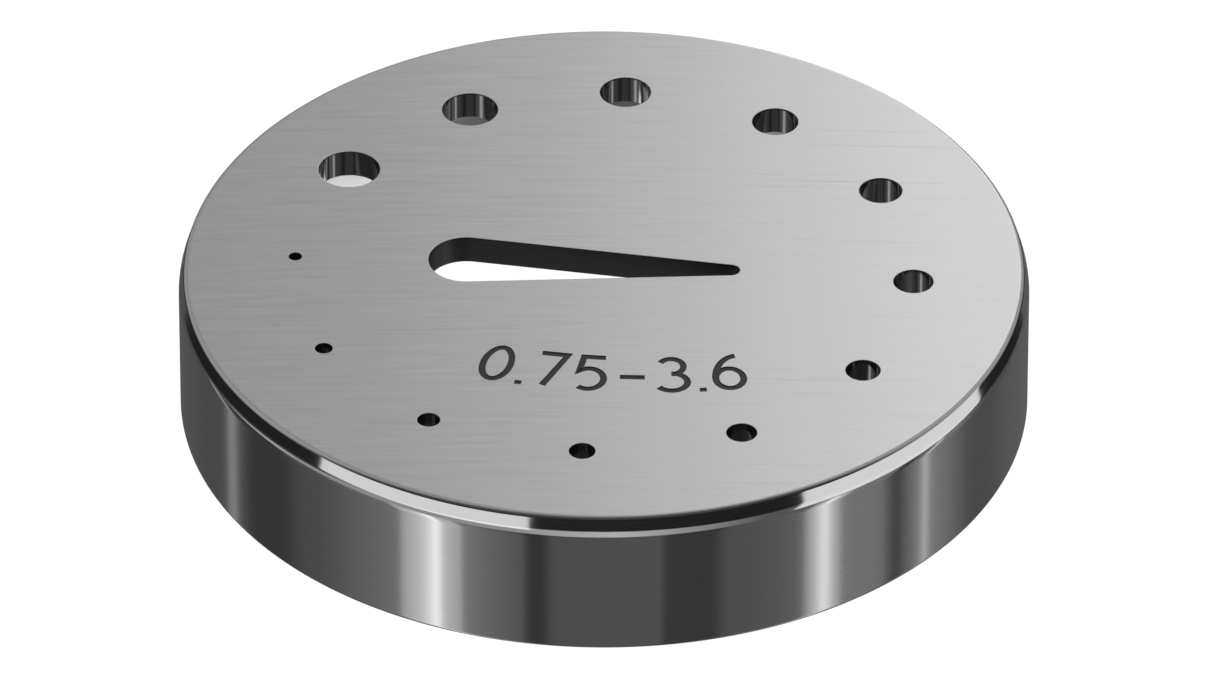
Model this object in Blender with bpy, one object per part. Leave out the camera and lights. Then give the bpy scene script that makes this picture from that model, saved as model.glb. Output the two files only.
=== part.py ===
"""Round riveting stake for watch work. Metres, +Z up, origin in the middle of the face that it stands on.

The tool is one piece of hardened steel: a turned disc with a bevelled top edge, a flat working plate, and an open
recess under the plate. Twelve graded holes and one tapered slot go through the plate into the recess, so that a
staff, pinion or roller can hang down through the one that fits it.
"""

import math

import bmesh
import bpy

MM = 0.001

# The disc.
DIAMETER = 50.0 * MM
HEIGHT = 9.2 * MM
BEVEL_WIDTH = 0.35 * MM
BEVEL_DROP = 1.1 * MM
FOOT_CHAMFER = 0.2 * MM
DISC_SEGMENTS = 120

# The recess under the working plate.
PLATE_THICKNESS = 1.8 * MM
RIM_WIDTH = 3.5 * MM
ROOT_FILLET = 0.8 * MM
ROOT_FILLET_STEPS = 4

# The graded holes, from the largest, clockwise as seen from above.
HOLE_DIAMETERS = [size * MM for size in (3.6, 3.3, 3.0, 2.7, 2.5, 2.3, 2.0, 1.75, 1.5, 1.3, 1.0, 0.75)]
HOLE_CIRCLE_RADIUS = 18.2 * MM
FIRST_HOLE_ANGLE = math.radians(150)
HOLE_STEP = math.tau / len(HOLE_DIAMETERS)
HOLE_SEGMENTS = 32

# The tapered slot lies along X, with its wide end towards -X. Its middle line is a little behind the disc's axis.
SLOT_WIDE_RADIUS = 2.2 * MM
SLOT_WIDE_CENTRE = (-8.15 * MM, 0.4 * MM)
SLOT_NARROW_RADIUS = 0.5 * MM
SLOT_NARROW_CENTRE = (7.45 * MM, 0.4 * MM)
SLOT_WIDE_STEPS = 20
SLOT_NARROW_STEPS = 10

# A cutter passes this far beyond both faces of the plate.
CUTTER_EXTRA = 0.5 * MM

STEEL_COLOUR = (0.62, 0.62, 0.61, 1.0)
STEEL_ROUGHNESS = 0.3
SMOOTH_BELOW = math.radians(30)


def remove_everything():
    """Clears the file, so that the script can be run again."""
    for old in list(bpy.data.objects):
        bpy.data.objects.remove(old)


def steel():
    """Hardened, ground steel."""
    material = bpy.data.materials.new("hardened_steel")
    material.use_nodes = True
    shader = material.node_tree.nodes["Principled BSDF"]
    shader.inputs["Base Color"].default_value = STEEL_COLOUR
    shader.inputs["Metallic"].default_value = 1.0
    shader.inputs["Roughness"].default_value = STEEL_ROUGHNESS
    return material


def arc(centre, radius, start, end, steps):
    """Points (across, up) along an arc, both ends included. Angles are in radians, anticlockwise."""
    angles = [start + (end - start) * i / steps for i in range(steps + 1)]
    return [(centre[0] + radius * math.cos(a), centre[1] + radius * math.sin(a)) for a in angles]


def disc_outline():
    """Half of the disc's section as (radius, height), from the top face's edge round to the recess's ceiling."""
    radius = DIAMETER / 2
    recess_radius = radius - RIM_WIDTH
    ceiling = HEIGHT - PLATE_THICKNESS
    root_centre = (recess_radius - ROOT_FILLET, ceiling - ROOT_FILLET)
    outside = [
        (radius - BEVEL_WIDTH, HEIGHT),
        (radius, HEIGHT - BEVEL_DROP),
        (radius, FOOT_CHAMFER),
        (radius - FOOT_CHAMFER, 0.0),
    ]
    inside = [(recess_radius + FOOT_CHAMFER, 0.0), (recess_radius, FOOT_CHAMFER)]
    return outside + inside + arc(root_centre, ROOT_FILLET, 0.0, math.pi / 2, ROOT_FILLET_STEPS)


def object_from(mesh_maker, name):
    """A new object in the scene, whose mesh is what the bmesh mesh_maker holds."""
    bmesh.ops.recalc_face_normals(mesh_maker, faces=mesh_maker.faces)
    mesh = bpy.data.meshes.new(name)
    mesh_maker.to_mesh(mesh)
    mesh_maker.free()
    made = bpy.data.objects.new(name, mesh)
    bpy.context.scene.collection.objects.link(made)
    return made


def disc():
    """The turned disc, still without its holes: the outline is spun, and both flat ends are closed."""
    bm = bmesh.new()
    points = [bm.verts.new((across, 0.0, up)) for across, up in disc_outline()]
    edges = [bm.edges.new(pair) for pair in zip(points, points[1:])]
    bmesh.ops.spin(
        bm,
        geom=points + edges,
        cent=(0.0, 0.0, 0.0),
        axis=(0.0, 0.0, 1.0),
        angle=math.tau,
        steps=DISC_SEGMENTS,
        use_merge=True,
    )
    open_edges = [edge for edge in bm.edges if edge.is_boundary]
    bmesh.ops.holes_fill(bm, edges=open_edges, sides=DISC_SEGMENTS)
    return object_from(bm, "riveting_stake")


def cutter(name, outline):
    """An upright prism with this outline in X and Y, which reaches through the plate."""
    low = HEIGHT - PLATE_THICKNESS - CUTTER_EXTRA
    bm = bmesh.new()
    base = bm.faces.new([bm.verts.new((x, y, low)) for x, y in outline])
    top = bmesh.ops.extrude_face_region(bm, geom=[base])["geom"]
    rise = PLATE_THICKNESS + 2 * CUTTER_EXTRA
    moved = [item for item in top if isinstance(item, bmesh.types.BMVert)]
    bmesh.ops.translate(bm, verts=moved, vec=(0.0, 0.0, rise))
    made = object_from(bm, name)
    made.hide_render = True
    made.display_type = "WIRE"
    return made


def hole_cutters():
    """One round cutter for each graded hole."""
    made = []
    for number, diameter in enumerate(HOLE_DIAMETERS, start=1):
        angle = FIRST_HOLE_ANGLE - (number - 1) * HOLE_STEP
        centre = (HOLE_CIRCLE_RADIUS * math.cos(angle), HOLE_CIRCLE_RADIUS * math.sin(angle))
        circle = arc(centre, diameter / 2, 0.0, math.tau, HOLE_SEGMENTS)[:-1]
        made.append(cutter(f"hole_cutter_{number:02d}", circle))
    return made


def slot_cutter():
    """The slot is two arcs joined by the straight lines that touch both."""
    length = SLOT_NARROW_CENTRE[0] - SLOT_WIDE_CENTRE[0]
    touch = math.acos((SLOT_WIDE_RADIUS - SLOT_NARROW_RADIUS) / length)
    wide = arc(SLOT_WIDE_CENTRE, SLOT_WIDE_RADIUS, touch, math.tau - touch, SLOT_WIDE_STEPS)
    narrow = arc(SLOT_NARROW_CENTRE, SLOT_NARROW_RADIUS, -touch, touch, SLOT_NARROW_STEPS)
    return cutter("slot_cutter", wide + narrow)


def cut(body, cutters):
    """Cuts every hole and the slot out of the body."""
    for tool in cutters:
        boolean = body.modifiers.new(tool.name, "BOOLEAN")
        boolean.operation = "DIFFERENCE"
        boolean.solver = "EXACT"
        boolean.object = tool


def build():
    """Makes the stake."""
    remove_everything()
    stake = disc()
    stake.data.materials.append(steel())
    stake.data.shade_smooth()
    stake.data.set_sharp_from_angle(angle=SMOOTH_BELOW)
    cut(stake, hole_cutters() + [slot_cutter()])


build()
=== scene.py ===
"""Looks of the round riveting stake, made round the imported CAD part.

Metres, +Z up, in the part's own frame.
"""

import math

import bmesh
import bpy
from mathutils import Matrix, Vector

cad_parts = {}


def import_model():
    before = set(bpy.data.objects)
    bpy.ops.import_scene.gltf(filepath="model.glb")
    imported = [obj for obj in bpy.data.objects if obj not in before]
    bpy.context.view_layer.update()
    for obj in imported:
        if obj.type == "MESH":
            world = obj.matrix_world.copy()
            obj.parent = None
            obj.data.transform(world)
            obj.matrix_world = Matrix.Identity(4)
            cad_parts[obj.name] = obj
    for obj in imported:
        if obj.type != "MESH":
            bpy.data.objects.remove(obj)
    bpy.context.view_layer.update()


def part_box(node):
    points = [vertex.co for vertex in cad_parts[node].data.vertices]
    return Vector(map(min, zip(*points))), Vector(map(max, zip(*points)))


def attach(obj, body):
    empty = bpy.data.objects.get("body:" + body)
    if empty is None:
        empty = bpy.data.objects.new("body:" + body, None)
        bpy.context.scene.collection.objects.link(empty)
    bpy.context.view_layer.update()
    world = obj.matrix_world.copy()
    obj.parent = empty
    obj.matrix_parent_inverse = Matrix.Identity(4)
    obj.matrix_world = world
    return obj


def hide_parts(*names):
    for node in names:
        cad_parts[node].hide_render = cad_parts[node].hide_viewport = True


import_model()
NODE = "riveting_stake"
LOW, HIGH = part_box(NODE)

MM = 0.001

# The disc. Its radius and height are the CAD part's own, and the rest repeats its driving dimensions.
RADIUS = HIGH.x
HEIGHT = HIGH.z
BEVEL_WIDTH = 0.35 * MM
BEVEL_DROP = 1.1 * MM
PLATE_THICKNESS = 1.8 * MM
RIM_WIDTH = 3.5 * MM
CEILING = HEIGHT - PLATE_THICKNESS
RECESS_RADIUS = RADIUS - RIM_WIDTH
DISC_SEGMENTS = 360

# How far each corner of the section is rounded. A ring HOLD beyond each round keeps the straight parts
# straight.
TOP_EDGE_ROUND = 0.32 * MM
BEVEL_FOOT_ROUND = 2.0 * MM
FOOT_ROUND = 0.2 * MM
ROOT_FILLET = 0.8 * MM
CORNER_STEPS = 10
HOLD = 0.05 * MM

# The graded holes, from the largest, clockwise as seen from above.
HOLE_DIAMETERS = [size * MM for size in (3.6, 3.3, 3.0, 2.7, 2.5, 2.3, 2.0, 1.75, 1.5, 1.3, 1.0, 0.75)]
HOLE_CIRCLE_RADIUS = 18.2 * MM
FIRST_HOLE_ANGLE = math.radians(150)
HOLE_STEP = math.tau / len(HOLE_DIAMETERS)
HOLE_SEGMENTS = 96

# The tapered slot lies along X, with its wide end towards -X. Its middle line is a little behind the disc's
# axis.
SLOT_WIDE_RADIUS = 2.2 * MM
SLOT_WIDE_CENTRE = (-8.15 * MM, 0.4 * MM)
SLOT_NARROW_RADIUS = 0.5 * MM
SLOT_NARROW_CENTRE = (7.45 * MM, 0.4 * MM)
SLOT_ARC_STEPS = 64

# Every hole edge is broken by a small round lip above, which stops short of level, and by a small chamfer
# below. A cutter goes on widening for CUTTER_EXTRA beyond both.
LIP_ROUND = 0.06 * MM
LIP_END = math.radians(105)
LIP_STEPS = 5
BURR_CHAMFER = 0.12 * MM
CUTTER_EXTRA = 0.4 * MM

# The etched size range, in numerals of one stroke width, stands on a shallow arc in front of the slot. Its
# strokes are drawn in units of a digit's width and height, and each advance is in units of its width.
MARK_STROKE = 0.42 * MM
MARK_DIGIT_WIDTH = 1.68 * MM
MARK_DIGIT_HEIGHT = 3.15 * MM
MARK_CENTRE = 1.2 * MM
MARK_BASELINE = -12.3 * MM
MARK_ARC_RADIUS = 37.0 * MM
MARK_DEPTH = 0.05 * MM
MARK_CURVE_STEPS = 24
DIGIT_ADVANCE = 1.5
POINT_ADVANCE = 0.5
LAST_ADVANCE = 1.0

# Where one surface ends and the next begins, and how near is the same place.
GROUND_ABOVE = HEIGHT - 0.04 * MM
POLISHED_ABOVE = HEIGHT - BEVEL_DROP - 0.3 * MM
SIDE_BEYOND = RECESS_RADIUS + FOOT_ROUND
BORES_BEYOND = HOLE_CIRCLE_RADIUS - HOLE_DIAMETERS[0]
NEAR = 0.01 * MM

# The Z of a normal beyond which a face counts as facing up or as flat, and the angle above which an edge is
# sharp.
FACES_UP = 0.9
FLAT = 0.9999
SHARP_ABOVE = math.radians(40)

# Each surface of the steel: (darkest grey, lightest grey, least roughness, most roughness).
GROUND_FINISH = (0.44, 0.76, 0.36, 0.44)
POLISHED_FINISH = (0.58, 0.66, 0.06, 0.09)
TURNED_FINISH = (0.55, 0.65, 0.09, 0.11)
# The round holes' walls get a dark grey, which is painted shade inside the holes.
BORE_FINISH_AND_SHADE = (0.20, 0.30, 0.05, 0.07)
# The slot's walls get a near-black grey, which is painted shade inside the slot.
FILED_FINISH_AND_SHADE = (0.06, 0.16, 0.38, 0.50)
ROUGH_FINISH = (0.36, 0.58, 0.28, 0.34)
ETCHED_FINISH = (0.02, 0.07, 0.50, 0.70)
ETCHED_METALLIC = 0.4

# How strongly a surface's relief shows, and how deep it is.
GROUND_RELIEF = (0.3, 0.004 * MM)
FILED_RELIEF = (0.4, 0.01 * MM)
ROUGH_RELIEF = (0.2, 0.005 * MM)

# The sizes of each surface's marks along X, Y and Z, and the distance between the turned rings underneath.
POLISHED_LINES = (9 * MM, 9 * MM, 0.05 * MM)
TURNED_LINES = (25 * MM, 25 * MM, 0.06 * MM)
BORED_LINES = (3 * MM, 3 * MM, 0.08 * MM)
FILED_LINES = (2 * MM, 2 * MM, 0.07 * MM)
ETCHED_PITS = (0.05 * MM, 0.05 * MM, 0.05 * MM)
RING_SPACING = 0.5 * MM

# The working face was ground by a large cup wheel, so its grain is very slightly arched, and it isn't quite
# in line with the slot. Sizes are along the grain, across it, and up, which doesn't matter on a flat face.
GRIND_RADIUS = 420 * MM
GRAIN_TURN = math.radians(4)
GRAIN_ACROSS = Vector((-math.sin(GRAIN_TURN), math.cos(GRAIN_TURN), 0.0))
FINE_GRAIN = (4 * MM, 0.11 * MM, 1.0)
BROAD_GRAIN = (7 * MM, 0.38 * MM, 1.0)
BROAD_DETAIL = 2.0
BROAD_SHARE = 0.6

# The deeper lines in it: where their noise is above DEEP_FROM, and at full depth from DEEP_FULL.
DEEP_LINES = (22 * MM, 0.07 * MM, 1.0)
DEEP_DETAIL = 1.0
DEEP_FROM = 0.70
DEEP_FULL = 0.76
DEEP_GREY = 0.42

# How far the lines of the ground face, and of the turned side and the bored holes, draw reflections out.
GROUND_ANISOTROPY = 0.8
TURNED_ANISOTROPY = 1.0

# A noise texture's usual detail and roughness. Most of its values lie between NOISE_LEAST and NOISE_MOST.
NOISE_DETAIL = 4.0
NOISE_ROUGHNESS = 0.6
NOISE_LEAST = 0.3
NOISE_MOST = 0.7

# The camera: nearly parallel rays, from above the front and slightly right of it.
CAMERA_AZIMUTH = math.radians(4.0)
CAMERA_ELEVATION = math.radians(35.7)
CAMERA_DISTANCE = 40 * RADIUS
VIEW_WIDTH = 2.847 * RADIUS
AIM_HEIGHT = 0.44 * HEIGHT
SENSOR_WIDTH_MM = 36.0

# The table. It is FLOOR_GAP below the foot, so that the two flat faces don't share a plane.
FLOOR_RADIUS = 3.0
FLOOR_SEGMENTS = 64
FLOOR_GAP = 0.02 * MM
FLOOR_GREY = 0.1

# The light under the recess, behind and left of the middle.
GLOW_PLACE = (-8.6 * MM, 14.7 * MM, -1.0 * MM)
GLOW_SIZE = (6 * MM, 2.5 * MM)
GLOW_RADIANCE = 2.1

# Two low cards for the bevel, and a soft box behind for the working face: (name, azimuth from the camera and
# elevation in degrees, width, height, distance, radiance).
CARDS = [
    ("low_left", -45.4, -4.5, 0.437, 0.1, 0.42, 0.98),
    ("low_right", 78, -11.3, 0.465, 0.165, 0.42, 1.0),
    ("box_behind", 164.2, 36, 0.12, 0.25, 0.3, 1.5),
]

# The room's walls below table level, which the turned side mirrors: (azimuth from the camera in degrees,
# radiance). Narrow strips of light stand between darker stretches of wall.
LEFT_WALL = [
    (-180, 0.11), (-150, 0.10), (-124.4, 0.09), (-123.5, 0.40), (-119.8, 0.40), (-118.8, 0.12), (-112, 0.05),
    (-96, 0.055), (-91, 0.10), (-82, 0.11), (-74, 0.15), (-58, 0.23), (-57.1, 0.24), (-56.4, 0.56),
    (-51, 0.78), (-47.9, 1.10), (-47.3, 1.50), (-45.3, 1.50), (-44.7, 0.70), (-39.4, 0.56), (-38.6, 0.26),
    (-30, 0.18), (-22.5, 0.13), (-20, 0.045), (-16.8, 0.045), (-13.5, 0.11), (0, 0.11),
]
RIGHT_WALL = [
    (0, 0.11), (15.0, 0.12), (16.8, 0.055), (30, 0.055), (33, 0.11), (54.8, 0.16), (55.8, 0.17),
    (56.5, 0.44), (59.3, 0.66), (60.8, 0.98), (61.4, 1.28), (63.4, 1.28), (64.1, 0.70), (67, 0.54),
    (67.7, 0.24), (70, 0.26), (81.5, 0.25), (84.0, 0.10), (87.5, 0.03), (90.0, 0.16), (96.3, 0.27),
    (97.0, 0.92), (98.4, 0.92), (99.1, 0.26), (105, 0.25), (118, 0.10), (130, 0.10), (142, 0.13),
    (180, 0.12),
]
WALL_TOP = -0.415

# The room above the walls, which leans towards the camera: (height less LEAN of the reach forward, radiance).
# A dark band, which the bevel mirrors, parts a pale zone from the sky. The sky is darker in front.
LEAN = 0.24
SKY = [(-0.32, 0.12), (-0.27, 0.10), (-0.22, 0.02), (-0.08, 0.02), (0.23, 0.40), (1.0, 0.52)]
FRONT_SKY = [(-0.28, 0.02), (0.0, 0.02), (0.3, 0.07), (1.0, 0.12)]
FRONT_FROM = -0.1
FRONT_FULL = 0.4
PALE_BELOW = -0.32
PALE_ZONE = [
    (-180, 0.10), (-160, 0.10), (-152, 0.60), (-92, 0.60), (-84, 0.40), (-24, 0.40), (-17, 0.48),
    (3, 0.70), (20, 0.42), (42, 0.13), (180, 0.13),
]


# ---------------------------------------------------------------- outlines


def arc(centre, radius, start, end, steps):
    """Points (across, up) along an arc, both ends included. Angles are in radians, anticlockwise."""
    angles = [start + (end - start) * i / steps for i in range(steps + 1)]
    return [(centre[0] + radius * math.cos(a), centre[1] + radius * math.sin(a)) for a in angles]


def rounded_corner(before, corner, after, radius):
    """The arc that replaces a corner between two straight lines, with one more point on each line."""
    corner = Vector(corner)
    back = (Vector(before) - corner).normalized()
    ahead = (Vector(after) - corner).normalized()
    half = back.angle(ahead) / 2
    reach = radius / math.tan(half)
    centre = corner + (back + ahead).normalized() * radius / math.sin(half)
    first = corner + back * reach - centre
    turn = (corner + ahead * reach - centre).angle_signed(first)
    start = math.atan2(first.y, first.x)
    bend = arc(centre, radius, start, start + turn, CORNER_STEPS)
    return [corner + back * (reach + HOLD)] + bend + [corner + ahead * (reach + HOLD)]


def disc_outline():
    """Half of the disc's section as (radius, height), from the top face round to the recess's ceiling."""
    corners = [
        ((0.0, HEIGHT), 0.0),
        ((RADIUS - BEVEL_WIDTH, HEIGHT), TOP_EDGE_ROUND),
        ((RADIUS, HEIGHT - BEVEL_DROP), BEVEL_FOOT_ROUND),
        ((RADIUS, 0.0), FOOT_ROUND),
        ((RECESS_RADIUS, 0.0), FOOT_ROUND),
        ((RECESS_RADIUS, CEILING), ROOT_FILLET),
        ((0.0, CEILING), 0.0),
    ]
    points = []
    for (before, _), (corner, radius), (after, _) in zip(corners, corners[1:], corners[2:]):
        points += rounded_corner(before, corner, after, radius)
    return points


def hole_outline(number):
    """A function that gives the outline of one graded hole, grown by an offset."""
    angle = FIRST_HOLE_ANGLE - number * HOLE_STEP
    centre = (HOLE_CIRCLE_RADIUS * math.cos(angle), HOLE_CIRCLE_RADIUS * math.sin(angle))
    radius = HOLE_DIAMETERS[number] / 2
    return lambda offset: arc(centre, radius + offset, 0.0, math.tau, HOLE_SEGMENTS)[:-1]


def slot_outline(offset):
    """The slot's outline, grown by an offset: two arcs joined by the straight lines that touch both."""
    length = SLOT_NARROW_CENTRE[0] - SLOT_WIDE_CENTRE[0]
    touch = math.acos((SLOT_WIDE_RADIUS - SLOT_NARROW_RADIUS) / length)
    wide = arc(SLOT_WIDE_CENTRE, SLOT_WIDE_RADIUS + offset, touch, math.tau - touch, SLOT_ARC_STEPS)
    narrow = arc(SLOT_NARROW_CENTRE, SLOT_NARROW_RADIUS + offset, -touch, touch, SLOT_ARC_STEPS)
    return wide + narrow


# ---------------------------------------------------------------- meshes


def new_object(name, data):
    """A new object in the scene."""
    made = bpy.data.objects.new(name, data)
    bpy.context.scene.collection.objects.link(made)
    return made


def object_from(bm, name):
    """A new object in the scene with the mesh that bm holds."""
    bmesh.ops.recalc_face_normals(bm, faces=bm.faces)
    mesh = bpy.data.meshes.new(name)
    bm.to_mesh(mesh)
    bm.free()
    return new_object(name, mesh)


def bridge(bm, lower, upper):
    """Joins two closed rings of points by one face for each side."""
    for i in range(len(lower)):
        bm.faces.new((lower[i - 1], lower[i], upper[i], upper[i - 1]))


def turned_disc():
    """The disc without its holes: the section is spun, and both flat ends are closed."""
    bm = bmesh.new()
    points = [bm.verts.new((across, 0.0, up)) for across, up in disc_outline()]
    edges = [bm.edges.new(pair) for pair in zip(points, points[1:])]
    bmesh.ops.spin(
        bm,
        geom=points + edges,
        cent=(0.0, 0.0, 0.0),
        axis=(0.0, 0.0, 1.0),
        angle=math.tau,
        steps=DISC_SEGMENTS,
        use_merge=True,
    )
    open_edges = [edge for edge in bm.edges if edge.is_boundary]
    bmesh.ops.holes_fill(bm, edges=open_edges, sides=DISC_SEGMENTS)
    return object_from(bm, "stake")


def cutter_stations():
    """(offset, height) of a cutter's rings, from below the plate to above it."""
    below = CEILING - CUTTER_EXTRA
    stations = [
        (BURR_CHAMFER + CUTTER_EXTRA, below),
        (0.0, CEILING + BURR_CHAMFER),
        (0.0, HEIGHT - LIP_ROUND - HOLD),
    ]
    stations += arc((LIP_ROUND, HEIGHT - LIP_ROUND), LIP_ROUND, math.pi, LIP_END, LIP_STEPS)
    across, up = stations[-1]
    stations.append((across + CUTTER_EXTRA, up - CUTTER_EXTRA / math.tan(LIP_END)))
    return stations


def cutter(name, outline):
    """A closed body that follows an outline through the plate and widens at both faces."""
    bm = bmesh.new()
    rings = [[bm.verts.new((x, y, up)) for x, y in outline(offset)] for offset, up in cutter_stations()]
    for lower, upper in zip(rings, rings[1:]):
        bridge(bm, lower, upper)
    bm.faces.new(rings[0])
    bm.faces.new(rings[-1])
    return object_from(bm, name)


def oval(centre, reach, start, end):
    """Points along part of an oval in a digit's units, with the angles in degrees."""
    angles = [math.radians(start + (end - start) * i / MARK_CURVE_STEPS) for i in range(MARK_CURVE_STEPS + 1)]
    return [(centre[0] + reach[0] * math.cos(a), centre[1] + reach[1] * math.sin(a)) for a in angles]


def mark_glyphs():
    """(strokes, advance) of each character of the size range 0.75-3.6."""
    point = ([[(0.0, -0.06), (0.0, 0.06)]], POINT_ADVANCE)
    zero = ([oval((0.5, 0.5), (0.5, 0.5), 90, 450)], DIGIT_ADVANCE)
    seven = ([[(0.0, 1.0), (1.0, 1.0), (0.35, 0.0)]], DIGIT_ADVANCE)
    five_bowl = oval((0.42, 0.32), (0.55, 0.32), 120, -125)
    five = ([[(0.95, 1.0), (0.12, 1.0), (0.05, 0.56)] + five_bowl], DIGIT_ADVANCE)
    dash = ([[(0.05, 0.42), (0.95, 0.42)]], DIGIT_ADVANCE)
    three_top = oval((0.42, 0.76), (0.46, 0.24), 150, -90)
    three_bowl = oval((0.42, 0.27), (0.56, 0.27), 90, -145)
    three = ([three_top, three_bowl], DIGIT_ADVANCE)
    six_bowl = oval((0.5, 0.31), (0.5, 0.31), 90, 450)
    six_stem = oval((0.92, 0.31), (0.92, 0.69), 180, 93)
    six = ([six_bowl, six_stem], LAST_ADVANCE)
    return [zero, point, seven, five, dash, three, point, six]


def on_mark_arc(x, y, up):
    """The place in the part's frame of a point x along the mark's arc and y above its baseline."""
    turn = x / MARK_ARC_RADIUS
    reach = MARK_ARC_RADIUS - y
    middle = MARK_BASELINE + MARK_ARC_RADIUS
    return (MARK_CENTRE + reach * math.sin(turn), middle - reach * math.cos(turn), up)


def stroke_sides(points, closed):
    """Pairs of points on both sides of a line, half a stroke from it, with mitred bends."""
    sides = []
    for i, here in enumerate(points):
        before = points[i - 1] if closed or i > 0 else here
        after = points[(i + 1) % len(points)] if closed or i < len(points) - 1 else here
        ways = [(far - near).normalized() for near, far in ((before, here), (here, after)) if far != near]
        along = sum(ways, Vector((0.0, 0.0))).normalized()
        across = Vector((-along.y, along.x)) * MARK_STROKE / 2 / along.dot(ways[0])
        sides.append((here + across, here - across))
    return sides


def stroke_cutter(points):
    """A band along one stroke of the mark, which reaches MARK_DEPTH into the top face."""
    points = [Vector(point) for point in points]
    closed = (points[0] - points[-1]).length < NEAR
    if closed:
        points.pop()
    bm = bmesh.new()
    rings = []
    for left, right in stroke_sides(points, closed):
        corners = ((left, -MARK_DEPTH), (right, -MARK_DEPTH), (right, MARK_DEPTH), (left, MARK_DEPTH))
        rings.append([bm.verts.new(on_mark_arc(place.x, place.y, HEIGHT + up)) for place, up in corners])
    if closed:
        rings.append(rings[0])
    else:
        bm.faces.new(rings[0])
        bm.faces.new(rings[-1])
    for first, second in zip(rings, rings[1:]):
        bridge(bm, first, second)
    return object_from(bm, "mark_stroke")


def mark_cutters():
    """One cutter for each stroke of the mark, which is centred on its arc."""
    glyphs = mark_glyphs()
    start = -sum(advance for _, advance in glyphs) * MARK_DIGIT_WIDTH / 2
    made = []
    for strokes, advance in glyphs:
        for stroke in strokes:
            across = [start + x * MARK_DIGIT_WIDTH for x, _ in stroke]
            up = [MARK_STROKE / 2 + y * MARK_DIGIT_HEIGHT for _, y in stroke]
            made.append(stroke_cutter(list(zip(across, up))))
        start += advance * MARK_DIGIT_WIDTH
    return made


def cut(body, cutters):
    """Cuts the cutters out of the body, and removes them."""
    for tool in cutters:
        boolean = body.modifiers.new(tool.name, "BOOLEAN")
        boolean.operation = "DIFFERENCE"
        boolean.solver = "EXACT"
        boolean.object = tool
    graph = bpy.context.evaluated_depsgraph_get()
    mesh = bpy.data.meshes.new_from_object(body.evaluated_get(graph), depsgraph=graph)
    body.modifiers.clear()
    body.data = mesh
    for tool in cutters:
        bpy.data.objects.remove(tool)


def stake():
    """The finished shape of the stake."""
    body = turned_disc()
    cutters = [cutter(f"hole_{i}", hole_outline(i)) for i in range(len(HOLE_DIAMETERS))]
    cutters.append(cutter("slot", slot_outline))
    cut(body, cutters + mark_cutters())
    return body


# ---------------------------------------------------------------- shader nodes


def add(tree, kind, inputs=None, **settings):
    """Adds a node, sets its properties, and gives each input a value or a link."""
    made = tree.nodes.new(kind)
    for name, value in settings.items():
        setattr(made, name, value)
    for key, value in (inputs or {}).items():
        if isinstance(value, bpy.types.NodeSocket):
            tree.links.new(value, made.inputs[key])
        else:
            made.inputs[key].default_value = value
    return made


def calculated(tree, operation, *values):
    """The result of a Math node."""
    return add(tree, "ShaderNodeMath", dict(enumerate(values)), operation=operation).outputs[0]


def combined(tree, operation, *vectors):
    """The vector that a Vector Math node gives."""
    return add(tree, "ShaderNodeVectorMath", dict(enumerate(vectors)), operation=operation).outputs["Vector"]


def flat_length(tree, vector):
    """The length of a vector's X and Y parts."""
    flat = combined(tree, "MULTIPLY", vector, (1.0, 1.0, 0.0))
    return add(tree, "ShaderNodeVectorMath", {0: flat}, operation="LENGTH").outputs["Value"]


def streaks(tree, place, sizes, detail=NOISE_DETAIL):
    """Noise whose features have these sizes along X, Y and Z, in metres, as a socket from 0 to 1."""
    scaled = combined(tree, "MULTIPLY", place, [1 / size for size in sizes])
    inputs = {"Vector": scaled, "Scale": 1.0, "Detail": detail, "Roughness": NOISE_ROUGHNESS}
    return add(tree, "ShaderNodeTexNoise", inputs).outputs["Fac"]


def ranged(tree, value, low, high, least=NOISE_LEAST, most=NOISE_MOST):
    """Maps a socket from least..most to low..high."""
    inputs = {"Value": value, "From Min": least, "From Max": most, "To Min": low, "To Max": high}
    return add(tree, "ShaderNodeMapRange", inputs).outputs["Result"]


def grey(level):
    """A neutral colour."""
    return (level, level, level, 1.0)


def mixed(tree, share, first, second):
    """Mixes two colours by a socket."""
    inputs = {0: share, 6: first, 7: second}
    return add(tree, "ShaderNodeMix", inputs, data_type="RGBA").outputs[2]


def averaged(tree, first, second, share):
    """A weighted mean of two value sockets."""
    inputs = {0: share, 2: first, 3: second}
    return add(tree, "ShaderNodeMix", inputs, data_type="FLOAT").outputs[0]


# ---------------------------------------------------------------- materials


def new_material(name):
    """A node material, as (material, its node tree, its Principled shader)."""
    material = bpy.data.materials.new(name)
    material.use_nodes = True
    tree = material.node_tree
    return material, tree, tree.nodes["Principled BSDF"]


def own_place(tree):
    """The place in the part's own frame."""
    return add(tree, "ShaderNodeTexCoord").outputs["Object"]


def set_finish(tree, shader, pattern, finish, metallic=1.0):
    """Gives the shader a finish, whose grey and roughness follow a pattern."""
    dark, light, least, most = finish
    shader.inputs["Metallic"].default_value = metallic
    tree.links.new(mixed(tree, pattern, grey(dark), grey(light)), shader.inputs["Base Color"])
    tree.links.new(ranged(tree, pattern, least, most), shader.inputs["Roughness"])


def draw_out(tree, shader, way, amount):
    """Draws the shader's reflections out along one way."""
    shader.inputs["Anisotropic"].default_value = amount
    tangent = add(tree, "ShaderNodeCombineXYZ", dict(enumerate(way))).outputs[0]
    tree.links.new(tangent, shader.inputs["Tangent"])


def set_relief(tree, shader, height, relief):
    """Feeds a height into the shader's normal."""
    strength, depth = relief
    bump = add(tree, "ShaderNodeBump", {"Height": height, "Strength": strength, "Distance": depth})
    tree.links.new(bump.outputs["Normal"], shader.inputs["Normal"])


def ground_place(tree):
    """The place with Y counted across the grain, whose lines are arcs of the grinding wheel's radius."""
    place = own_place(tree)
    reach = flat_length(tree, combined(tree, "ADD", place, GRAIN_ACROSS * GRIND_RADIUS))
    across = calculated(tree, "SUBTRACT", reach, GRIND_RADIUS)
    along = add(tree, "ShaderNodeSeparateXYZ", {0: place}).outputs["X"]
    return add(tree, "ShaderNodeCombineXYZ", {"X": along, "Y": across}).outputs[0]


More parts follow.
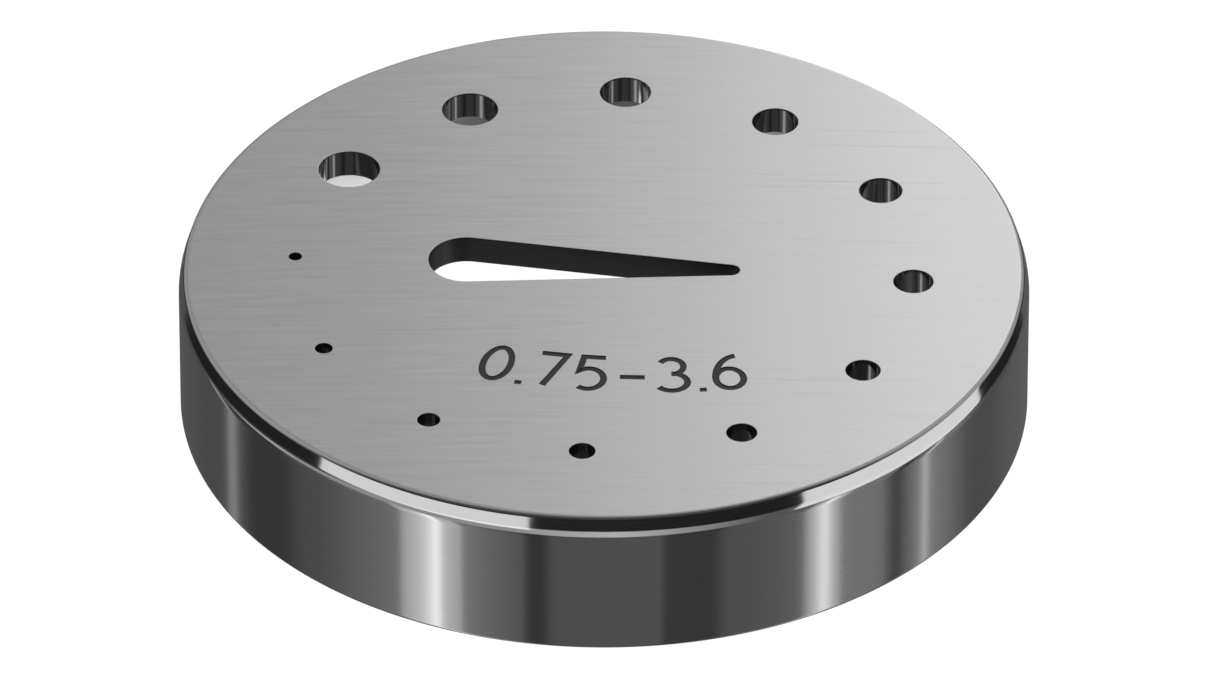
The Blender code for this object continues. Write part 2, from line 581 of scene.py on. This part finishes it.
def ground_steel():
    """The working face: satin grain along X from surface grinding, with a few deeper lines."""
    material, tree, shader = new_material("ground_steel")
    lines = ground_place(tree)
    fine = streaks(tree, lines, FINE_GRAIN)
    broad = streaks(tree, lines, BROAD_GRAIN, BROAD_DETAIL)
    grain = averaged(tree, fine, broad, BROAD_SHARE)
    deep = ranged(tree, streaks(tree, lines, DEEP_LINES, DEEP_DETAIL), 0.0, 1.0, DEEP_FROM, DEEP_FULL)
    dark, light, least, most = GROUND_FINISH
    steel = mixed(tree, grain, grey(dark), grey(light))
    shader.inputs["Metallic"].default_value = 1.0
    tree.links.new(mixed(tree, deep, steel, grey(DEEP_GREY)), shader.inputs["Base Color"])
    tree.links.new(ranged(tree, grain, least, most), shader.inputs["Roughness"])
    draw_out(tree, shader, GRAIN_ACROSS, GROUND_ANISOTROPY)
    set_relief(tree, shader, calculated(tree, "SUBTRACT", grain, deep), GROUND_RELIEF)
    return material


def polished_steel():
    """The bevel: polished, with a trace of the turning lines."""
    material, tree, shader = new_material("polished_steel")
    set_finish(tree, shader, streaks(tree, own_place(tree), POLISHED_LINES), POLISHED_FINISH)
    return material


def turned_steel():
    """The side: fine turning lines round the disc, which draw reflections out up and down."""
    material, tree, shader = new_material("turned_steel")
    set_finish(tree, shader, streaks(tree, own_place(tree), TURNED_LINES), TURNED_FINISH)
    draw_out(tree, shader, (0.0, 0.0, 1.0), TURNED_ANISOTROPY)
    return material


def bored_steel_and_shade():
    """The walls of the round holes: reamed, and darker than the faces by painted shade inside the holes."""
    material, tree, shader = new_material("bored_steel_and_shade")
    set_finish(tree, shader, streaks(tree, own_place(tree), BORED_LINES), BORE_FINISH_AND_SHADE)
    draw_out(tree, shader, (0.0, 0.0, 1.0), TURNED_ANISOTROPY)
    return material


def filed_steel_and_shade():
    """The walls of the slot: filed, and near-black by painted shade inside the slot."""
    material, tree, shader = new_material("filed_steel_and_shade")
    lines = streaks(tree, own_place(tree), FILED_LINES)
    set_finish(tree, shader, lines, FILED_FINISH_AND_SHADE)
    set_relief(tree, shader, lines, FILED_RELIEF)
    return material


def rough_steel():
    """The underside and the recess: coarser turned rings, which also run up the recess's wall."""
    material, tree, shader = new_material("rough_steel")
    place = own_place(tree)
    up = add(tree, "ShaderNodeSeparateXYZ", {0: place}).outputs["Z"]
    path = calculated(tree, "ADD", flat_length(tree, place), up)
    counted = calculated(tree, "DIVIDE", path, RING_SPACING)
    noise = add(tree, "ShaderNodeTexNoise", {"Vector": place, "W": counted}, noise_dimensions="4D")
    rings = noise.outputs["Fac"]
    set_finish(tree, shader, rings, ROUGH_FINISH)
    set_relief(tree, shader, rings, ROUGH_RELIEF)
    return material


def etched_steel():
    """The floor of the etched numerals: dark and matt."""
    material, tree, shader = new_material("etched_steel")
    pits = streaks(tree, own_place(tree), ETCHED_PITS)
    set_finish(tree, shader, pits, ETCHED_FINISH, metallic=ETCHED_METALLIC)
    return material


def surface_of(face):
    """Which material a face of the stake has, from where it is and which way it faces."""
    reach = math.hypot(face.center.x, face.center.y)
    up = face.center.z
    if up > GROUND_ABOVE and face.normal.z > FACES_UP:
        return "ground"
    if reach > SIDE_BEYOND and up > NEAR:
        return "polished" if up > POLISHED_ABOVE else "turned"
    if up < CEILING + NEAR:
        return "rough"
    if abs(up - (HEIGHT - MARK_DEPTH)) < NEAR and face.normal.z > FACES_UP:
        return "etched"
    return "bored" if reach > BORES_BEYOND else "filed"


def paint(body):
    """Gives each face of the stake its material."""
    materials = {
        "ground": ground_steel(),
        "polished": polished_steel(),
        "turned": turned_steel(),
        "bored": bored_steel_and_shade(),
        "filed": filed_steel_and_shade(),
        "rough": rough_steel(),
        "etched": etched_steel(),
    }
    body.data.materials.clear()
    for material in materials.values():
        body.data.materials.append(material)
    names = list(materials)
    for face in body.data.polygons:
        face.material_index = names.index(surface_of(face))


def smooth(body):
    """Smooth shading on every round surface, flat on every flat one."""
    body.data.shade_smooth()
    body.data.set_sharp_from_angle(angle=SHARP_ABOVE)
    for face in body.data.polygons:
        face.use_smooth = abs(face.normal.z) < FLAT


# ---------------------------------------------------------------- stage


def direction(azimuth, elevation):
    """A unit vector from the object, with the azimuth counted from the camera's side towards the right."""
    turn = azimuth + CAMERA_AZIMUTH
    level = math.cos(elevation)
    return Vector((math.sin(turn) * level, -math.cos(turn) * level, math.sin(elevation)))


def camera():
    """The camera, aimed at the disc's axis."""
    data = bpy.data.cameras.new("camera")
    data.sensor_width = SENSOR_WIDTH_MM
    data.lens = SENSOR_WIDTH_MM * CAMERA_DISTANCE / VIEW_WIDTH
    made = new_object("camera", data)
    back = direction(0.0, CAMERA_ELEVATION)
    made.location = Vector((0.0, 0.0, AIM_HEIGHT)) + back * CAMERA_DISTANCE
    made.rotation_euler = back.to_track_quat("Z", "Y").to_euler()
    bpy.context.scene.camera = made


def area_light(name, width, height, radiance):
    """A rectangular light that the camera doesn't see."""
    data = bpy.data.lights.new(name, "AREA")
    data.shape = "RECTANGLE"
    data.size = width
    data.size_y = height
    data.energy = radiance * math.pi * width * height
    made = new_object(name, data)
    made.visible_camera = False
    return made


def card(name, azimuth, elevation, width, height, distance, radiance):
    """A soft light that faces the object. Angles are in degrees, lengths in metres."""
    made = area_light(name, width, height, radiance)
    outward = direction(math.radians(azimuth), math.radians(elevation))
    made.location = Vector((0.0, 0.0, HEIGHT)) + outward * distance
    made.rotation_euler = outward.to_track_quat("Z", "Y").to_euler()


def glow():
    """A small light under the recess, facing up, which shows its wall through the two largest holes."""
    made = area_light("glow", *GLOW_SIZE, GLOW_RADIANCE)
    made.location = GLOW_PLACE
    made.rotation_euler = (math.pi, 0.0, 0.0)


def lights():
    """Every light of the scene, apart from the room's own."""
    glow()
    for settings in CARDS:
        card(*settings)


def ramp(tree, value, stops):
    """A colour ramp over a value, through (value, radiance) stops."""
    first = stops[0][0]
    last = stops[-1][0]
    made = add(tree, "ShaderNodeValToRGB", {"Fac": ranged(tree, value, 0.0, 1.0, first, last)})
    elements = made.color_ramp.elements
    while len(elements) < len(stops):
        elements.new(0.5)
    for element, (level, radiance) in zip(elements, stops):
        element.position = (level - first) / (last - first)
        element.color = grey(radiance)
    return made.outputs["Color"]


def wall(tree, azimuth):
    """The radiance of the walls below table level."""
    on_right = calculated(tree, "GREATER_THAN", azimuth, 0.0)
    return mixed(tree, on_right, ramp(tree, azimuth, LEFT_WALL), ramp(tree, azimuth, RIGHT_WALL))


def above_walls(tree, azimuth, forward, up):
    """The radiance of the room above the walls: a pale zone, a dark band and the sky."""
    lean = calculated(tree, "MULTIPLY_ADD", forward, -LEAN, up)
    is_pale = calculated(tree, "LESS_THAN", lean, PALE_BELOW)
    in_front = ranged(tree, forward, 0.0, 1.0, FRONT_FROM, FRONT_FULL)
    sky = mixed(tree, in_front, ramp(tree, lean, SKY), ramp(tree, lean, FRONT_SKY))
    return mixed(tree, is_pale, sky, ramp(tree, azimuth, PALE_ZONE))


def world():
    """The room: pale to the camera, and in reflections a soft sky over dark walls with strips of light."""
    made = bpy.data.worlds.new("room")
    made.use_nodes = True
    tree = made.node_tree
    place = add(tree, "ShaderNodeTexCoord").outputs["Generated"]
    turn = (0.0, 0.0, math.pi / 2 - CAMERA_AZIMUTH)
    turned = add(tree, "ShaderNodeMapping", {"Vector": place, "Rotation": turn}).outputs[0]
    forward, right, up = add(tree, "ShaderNodeSeparateXYZ", {0: turned}).outputs
    azimuth = calculated(tree, "DEGREES", calculated(tree, "ARCTAN2", right, forward))
    is_wall = calculated(tree, "LESS_THAN", up, WALL_TOP)
    mirrored = mixed(tree, is_wall, above_walls(tree, azimuth, forward, up), wall(tree, azimuth))
    seen = add(tree, "ShaderNodeLightPath").outputs["Is Camera Ray"]
    colour = mixed(tree, seen, mirrored, grey(1.0))
    tree.links.new(colour, tree.nodes["Background"].inputs["Color"])
    bpy.context.scene.world = made


def floor():
    """A pale, softly glowing table, which the polished steel doesn't mirror."""
    bm = bmesh.new()
    bmesh.ops.create_circle(bm, cap_ends=True, radius=FLOOR_RADIUS, segments=FLOOR_SEGMENTS)
    made = object_from(bm, "floor")
    material, _, shader = new_material("pale_table")
    shader.inputs["Base Color"].default_value = grey(FLOOR_GREY)
    shader.inputs["Roughness"].default_value = 1.0
    shader.inputs["Emission Color"].default_value = grey(1.0)
    shader.inputs["Emission Strength"].default_value = 1.0
    made.data.materials.append(material)
    made.location.z = LOW.z - FLOOR_GAP
    made.visible_glossy = False
    made.visible_shadow = False


# ---------------------------------------------------------------- the scene


camera()
body = stake()
paint(body)
smooth(body)
body.name = "riveting_stake_finished"
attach(body, "root")
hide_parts(NODE)
floor()
lights()
world()
bpy.context.scene.view_settings.view_transform = "Standard"
